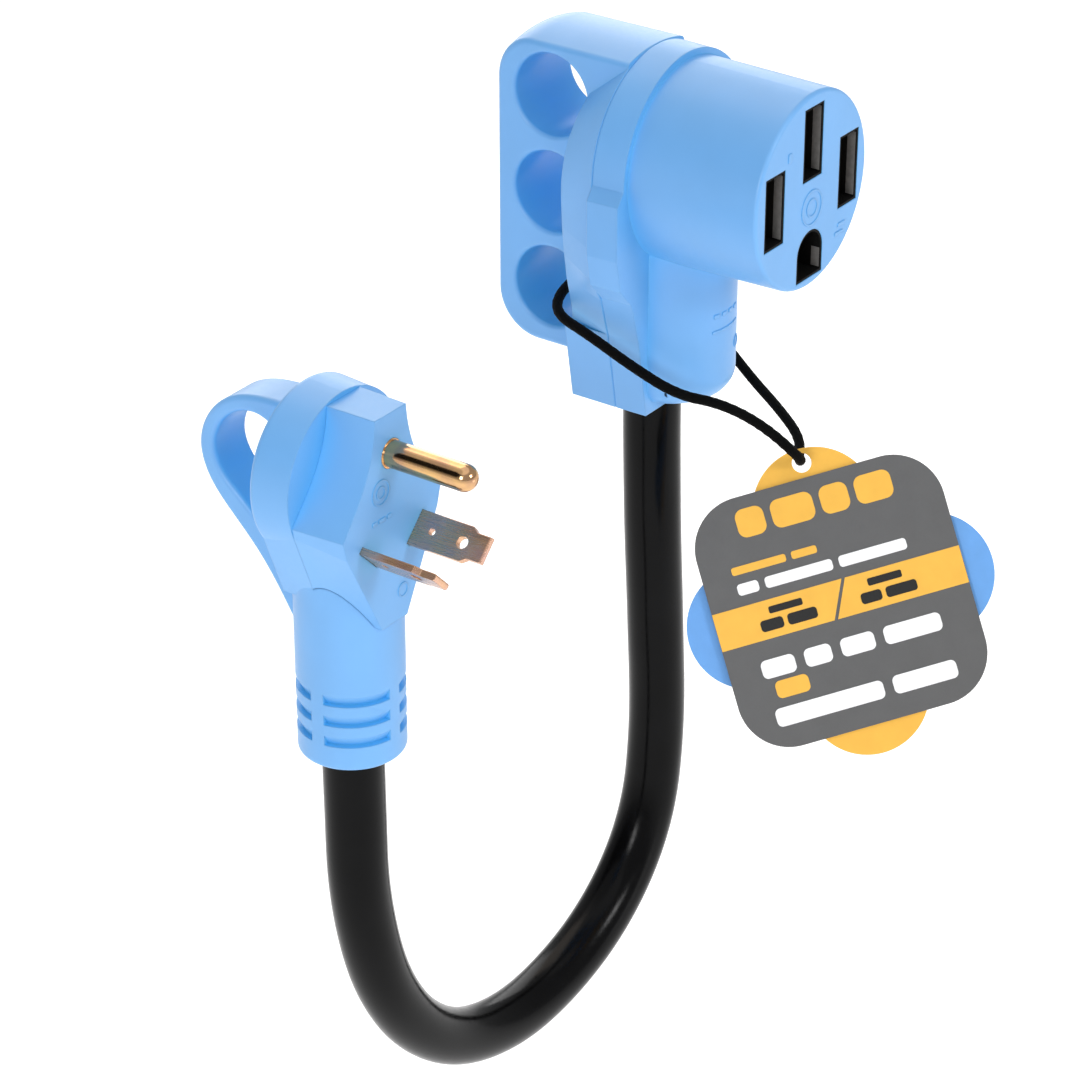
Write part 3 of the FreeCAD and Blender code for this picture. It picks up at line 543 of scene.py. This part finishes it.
def round_bar(left, right, bottom, top, corner):
    """Outline points of a bar with round corners."""
    corner = min(corner, (right - left) / 2, (top - bottom) / 2)
    x_low, x_high = left + corner, right - corner
    y_low, y_high = bottom + corner, top - corner
    quarters = ((x_high, y_high, 0), (x_low, y_high, 90), (x_low, y_low, 180), (x_high, y_low, 270))
    points = []
    for cx, cy, start in quarters:
        for step in range(7):
            angle = math.radians(start + 15 * step)
            points.append((cx + corner * math.cos(angle), cy + corner * math.sin(angle)))
    return points


def ring(cx, cy, radius, width):
    """Outlines of a flat ring, as two halves."""
    steps = 24
    halves = []
    for start in (0, math.pi):
        angles = [start + math.pi * step / steps for step in range(steps + 1)]
        outer = [(cx + radius * math.cos(a), cy + radius * math.sin(a)) for a in angles]
        inside = radius - width
        inner = [(cx + inside * math.cos(a), cy + inside * math.sin(a)) for a in reversed(angles)]
        halves.append(outer + inner)
    return halves


def raised(name, layers, thick, material, body):
    """One piece made of flat outlines, each raised by thick from its own place: (place, outlines)."""
    mesh = bpy.data.meshes.new(name)
    shape = bmesh.new()
    for place, outlines in layers:
        for outline in outlines:
            bottom = [shape.verts.new(place @ Vector((x, y, 0))) for x, y in outline]
            top = [shape.verts.new(place @ Vector((x, y, thick))) for x, y in outline]
            shape.faces.new(top)
            shape.faces.new(list(reversed(bottom)))
            for k in range(len(outline)):
                n = (k + 1) % len(outline)
                shape.faces.new((bottom[k], bottom[n], top[n], top[k]))
    shape.to_mesh(mesh)
    shape.free()
    mesh.materials.append(material)
    piece = bpy.data.objects.new(name, mesh)
    bpy.context.scene.collection.objects.link(piece)
    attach(piece, body)


def print_layer(name, outlines, material, base=0.0):
    """One colour of the tag's print, with its underside at base above the card."""
    place = tag_frame() @ Matrix.Translation((0, 0, base))
    raised(name, [(place, outlines)], INK_T, material, "tag")


def word_bars(left, right, bottom, top, lengths, gap):
    """A row of bars that stands for words: lengths are shares of the row."""
    free = (right - left) - gap * (len(lengths) - 1)
    total = sum(lengths)
    bars = []
    x = left
    for share in lengths:
        width = free * share / total
        bars.append(round_bar(x, x + width, bottom, top, (top - bottom) * 0.3))
        x += width + gap
    return bars


BAND_HALF = 28.75         # half the printed band's length
BAND_LOW = -3.8
BAND_HIGH = 4.8
DIVIDER_X = -2.6          # where the slanting gap starts at the band's lower edge
DIVIDER_LEAN = 4.0
DIVIDER_GAP = 0.8


def make_print():
    """The tag's print: bars where the words were, and a band across with a slanting divide."""
    yellow = coated_card("yellow_ink", YELLOW)
    white = coated_card("white_ink", (0.93, 0.93, 0.93))
    black = coated_card("black_ink", (0.003, 0.003, 0.003))
    left_half = [(-BAND_HALF, BAND_LOW), (DIVIDER_X, BAND_LOW),
                 (DIVIDER_X + DIVIDER_LEAN, BAND_HIGH), (-BAND_HALF, BAND_HIGH)]
    gap_end = DIVIDER_X + DIVIDER_GAP
    right_half = [(gap_end, BAND_LOW), (BAND_HALF, BAND_LOW), (BAND_HALF, BAND_HIGH),
                  (gap_end + DIVIDER_LEAN, BAND_HIGH)]
    print_layer("tag_band", [left_half, right_half], yellow)
    headings = word_bars(-17.9, 18.2, 19.4, 25.9, (1.0, 1.5, 1.0, 1.3), 1.6)
    headings += word_bars(-21.9, -2.1, 11.9, 13.7, (1.5, 0.7), 1.3)
    headings += word_bars(-19.5, -11.8, -17.4, -13.4, (1.0,), 1.0)
    print_layer("tag_yellow_bars", headings, yellow)
    rows = word_bars(-21.7, 17.6, 7.2, 9.8, (0.5, 1.6, 1.6), 1.5)
    rows += word_bars(-21.4, 20.4, -12.4, -8.2, (1.0, 0.8, 1.0, 1.7), 2.2)
    rows += word_bars(-21.2, 20.9, -23.6, -19.4, (2.2, 1.3), 2.2)
    print_layer("tag_white_bars", rows, white)
    marks = [round_bar(-16.2, -8.4, 1.6, 3.2, 0.4), round_bar(6.8, 14.7, 1.5, 3.2, 0.4)]
    marks += word_bars(-18.9, -5.8, -2.1, 0.5, (1.0, 1.3), 1.0)
    marks += word_bars(4.4, 17.4, -2.2, 0.3, (1.0, 1.5), 1.0)
    print_layer("tag_black_bars", marks, black, INK_T)


# ---- moulded marks and the light painted on the slots' walls ---------------------------------
MARK_T = 0.22             # how thick a moulded mark is, in millimetres
MARK_SUNK = 0.08          # how much of it is under the surface
FACE_Y = -61.2            # the outlet's face
PLUG_FACE_Y = -32.8       # the plug's face
NECK_FRONT_Y = -25.9      # the axis of the receptacle neck's round front
NECK_FRONT_R = 14.6
NECK_MARK_ANGLES = (-14, -4, 6, 16)


def face_frame(x, y, z):
    """From millimetres on a plane that faces -Y, counted from just under it, to the row frame."""
    turn = Matrix(((1, 0, 0), (0, 0, 1), (0, -1, 0))).transposed().to_4x4()
    return Matrix.Translation(Vector((x, y + MARK_SUNK, z)) * MM) @ turn @ Matrix.Scale(MM, 4)


def neck_frame(degrees, z):
    """The same on the receptacle neck's round front, turned from straight ahead."""
    turn = Matrix.Rotation(math.radians(degrees), 4, "Z")
    axis = Matrix.Translation(Vector((0, NECK_FRONT_Y, z)) * MM)
    return axis @ turn @ face_frame(0, -NECK_FRONT_R, 0)


def make_moulded_marks(plastic):
    """Shallow rings and bars where the real shells have moulded lettering."""
    face = ring(0.2, -15.4, 4.2, 0.5) + ring(0.2, -15.4, 2.2, 0.4)
    face += [round_bar(11.4, 14.4, -24.0, -23.1, 0.3), round_bar(10.2, 13.6, -25.9, -25.0, 0.3)]
    face += [round_bar(-10.2, -8.9, -1.8, 0.4, 0.3)]
    raised("outlet_face_marks", [(face_frame(0, FACE_Y, 0), face)], MARK_T, plastic,
           "receptacle")
    neck = []
    for degrees in NECK_MARK_ANGLES:
        neck.append((neck_frame(degrees, -45.6), [round_bar(-0.9, 0.9, -0.5, 0.5, 0.3)]))
        neck.append((neck_frame(degrees, -49.4), [round_bar(-1.25, 1.25, -0.35, 0.35, 0.2)]))
    neck.append((neck_frame(22, -55.0), ring(0, 0, 1.6, 0.4)))
    raised("neck_marks", neck, MARK_T, plastic, "receptacle")
    plug = ring(-116.2, -43.6, 2.9, 0.4) + ring(-116.2, -43.6, 1.5, 0.4)
    plug += word_bars(-119.2, -112.8, -50.4, -49.4, (1, 1.4, 1), 0.5)
    plug += ring(-109.6, -68.8, 1.7, 0.4)
    raised("plug_face_marks", [(face_frame(0, PLUG_FACE_Y, 0), plug)], MARK_T, plastic,
           "plug")


SLEEVE_INSET = 0.55       # from a slot's edge to the inside of its dark sleeve
SLOTS = [(0.0, -0.2, 7.8, 16.9), (-15.0, -11.2, 7.8, 16.9), (15.0, -11.2, 7.8, 16.9),
         (0.0, -28.6, 10.5, 6.6)]     # middle x, middle z, width, height of the straight part
STRIP_Y = (-2.4, -0.4)    # the painted-light strip's depth in the slot, from its back to its front
STRIP_T = 0.1
STRIP_SUNK = 0.02         # how far its back goes into the sleeve's wall
STRIP_ENDS = (0.9, 1.2)   # what it leaves clear at the slot's foot and top
# painted light: the grey of the black sleeve's lit wall, painted on a strip
PAINTED_LIGHT_GREY = (0.15, 0.145, 0.14)


def make_painted_lit_walls():
    """Painted light: a grey strip inside each slot, on the wall that faces the near side, where the
    lamps light the black sleeve.
    """
    material, tree, shader = new_material("painted_lit_sleeve", PAINTED_LIGHT_GREY, 0.6)
    mottle(tree, shader, PAINTED_LIGHT_GREY, 900, 0.15)
    back, front = STRIP_Y
    layers = []
    turn = Matrix(((0, -1, 0), (0, 0, 1), (-1, 0, 0))).transposed().to_4x4()
    for x, z, width, height in SLOTS:
        wall_x = x + width / 2 - SLEEVE_INSET + STRIP_SUNK
        place = Matrix.Translation(Vector((wall_x, FACE_Y, z)) * MM) @ turn @ Matrix.Scale(MM, 4)
        foot = -height / 2 + STRIP_ENDS[0]
        top = height / 2 - STRIP_ENDS[1]
        layers.append((place, [[(back, foot), (front, foot), (front, top), (back, top)]]))
    raised("slot_painted_light_strips", layers, STRIP_T, material, "receptacle")


# ---- the whole -----------------------------------------------------------------------------
make_camera()
make_floor()
make_studio()
make_power_cord()
make_lanyard()
shell = dress_nodes()
make_moulded_marks(shell)
make_painted_lit_walls()
make_print()
